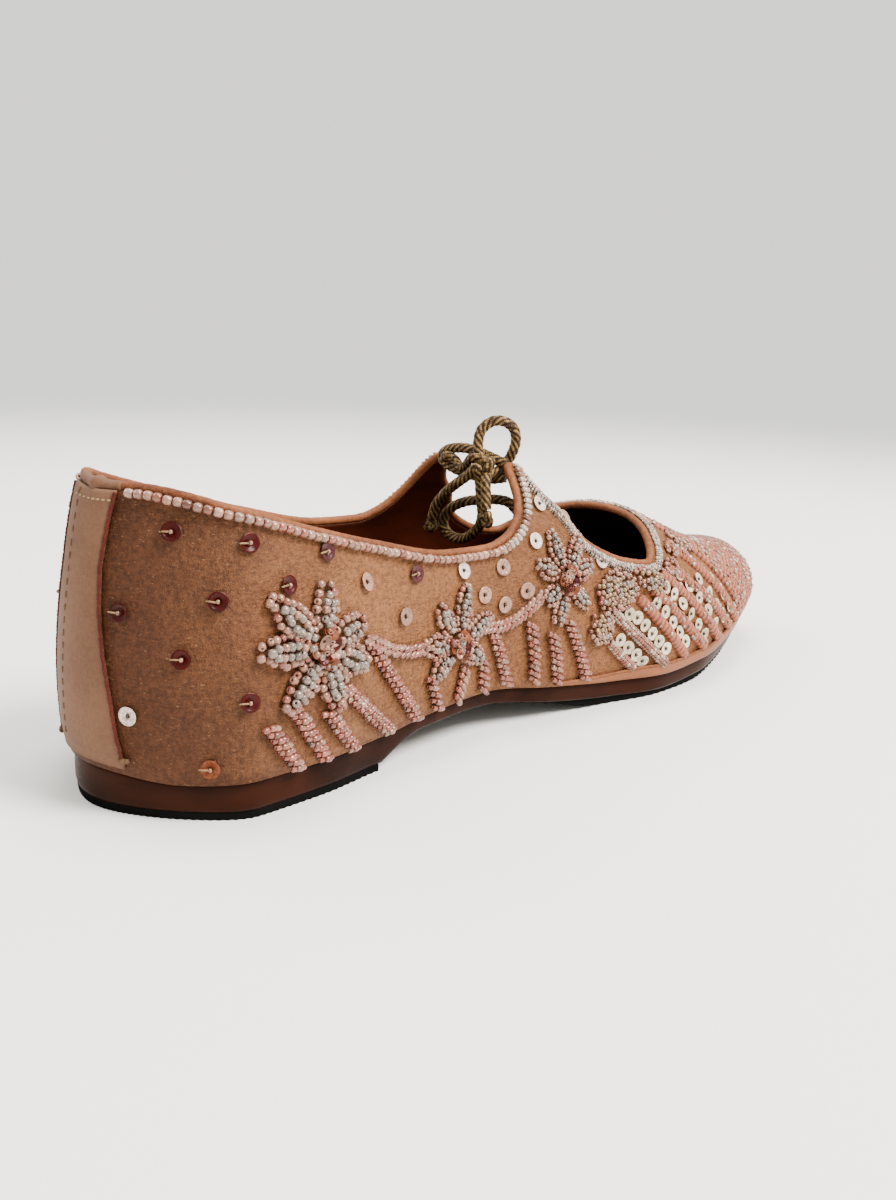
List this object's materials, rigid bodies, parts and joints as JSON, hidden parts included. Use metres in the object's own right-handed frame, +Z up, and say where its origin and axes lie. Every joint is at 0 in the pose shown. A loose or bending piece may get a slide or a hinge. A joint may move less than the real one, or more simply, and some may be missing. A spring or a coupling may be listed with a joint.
{
  "type": "bridal shoe",
  "caption": "Flat satin bridal shoe with beaded flowers, a ribbed beaded toe, two ears and a braided cord bow across the instep.",
  "frame": {"origin": "on the floor plane, under the centre of the shoe's outline, the tie's loops and ends left out", "axes": "+X from the heel to the toe, +Y to the wearer's left (the outer side), +Z up"},
  "size_m": [0.2428, 0.0744, 0.0764],
  "materials": {
    "satin": "peach tan satin with a fine crosswise slub and a soft sheen",
    "stay_cloth": "duller pinkish tan satin with a red chain stitched seam on each side",
    "binding": "rolled orange peach silk binding",
    "beads": "packed silver lined and pink seed beads",
    "sole_leather": "glossy dark red brown leather edge",
    "tread_rubber": "matte black rubber with a fine tooth",
    "lining": "dark red brown lining leather",
    "braid": "antique gold and brown metallic braid"
  },
  "bodies": {
    "root": {"upper": "satin", "heel_stay": "stay_cloth", "toe_band": "satin", "topline_binding": "binding", "outsole": "sole_leather", "heel_tread": "tread_rubber", "forefoot_tread": "tread_rubber", "insole": "lining", "flower_back_medial": "beads", "flower_middle_medial": "beads", "flower_front_medial": "beads", "leaf_low_medial": "beads", "leaf_middle_medial": "beads", "leaf_high_medial": "beads", "flower_back_lateral": "beads", "flower_middle_lateral": "beads", "flower_front_lateral": "beads", "leaf_low_lateral": "beads", "leaf_middle_lateral": "beads", "leaf_high_lateral": "beads", "tie_bar": "braid", "tie_knot": "braid", "tie_loop_upper": "braid", "tie_loop_lower": "braid", "tie_end_left": "braid", "tie_end_right": "braid", "tie_end_knot_left": "braid", "tie_end_knot_right": "braid"}
  },
  "joints": []
}
